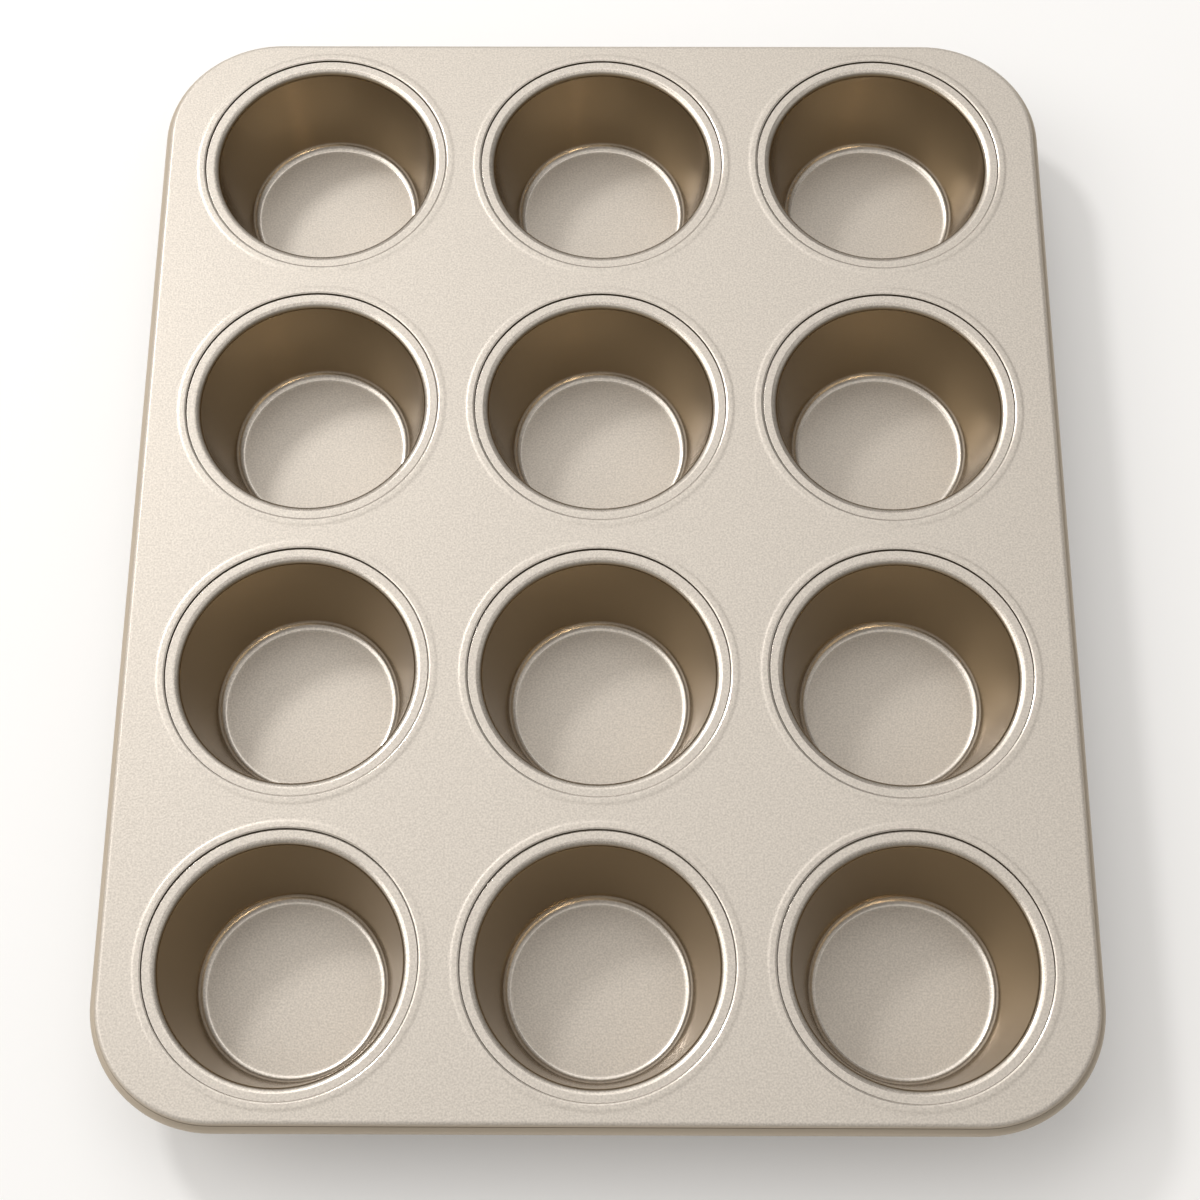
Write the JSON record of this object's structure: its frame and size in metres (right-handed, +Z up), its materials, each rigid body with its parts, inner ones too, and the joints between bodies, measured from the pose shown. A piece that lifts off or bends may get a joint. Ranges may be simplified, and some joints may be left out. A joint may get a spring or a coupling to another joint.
{
  "type": "muffin pan",
  "caption": "Rectangular muffin pan with round tapered cups seamed into a pressed top sheet, whose edge is rolled round a stiffening wire.",
  "frame": {"origin": "centre of the pan's outline, on the surface that the floors of the cups stand on", "axes": "+X across the columns of cups, +Y along the rows towards the far end in the picture, +Z up out of the cups"},
  "size_m": [0.274, 0.344, 0.0326],
  "materials": {
    "sheet_coating": "satin",
    "cup_coating": "satin",
    "wire": "satin"
  },
  "bodies": {
    "root": {"pan_sheet": "sheet_coating", "rim_wire": "wire", "cup_r1_c1": "cup_coating", "cup_r1_c2": "cup_coating", "cup_r1_c3": "cup_coating", "cup_r2_c1": "cup_coating", "cup_r2_c2": "cup_coating", "cup_r2_c3": "cup_coating", "cup_r3_c1": "cup_coating", "cup_r3_c2": "cup_coating", "cup_r3_c3": "cup_coating", "cup_r4_c1": "cup_coating", "cup_r4_c2": "cup_coating", "cup_r4_c3": "cup_coating"}
  },
  "joints": []
}
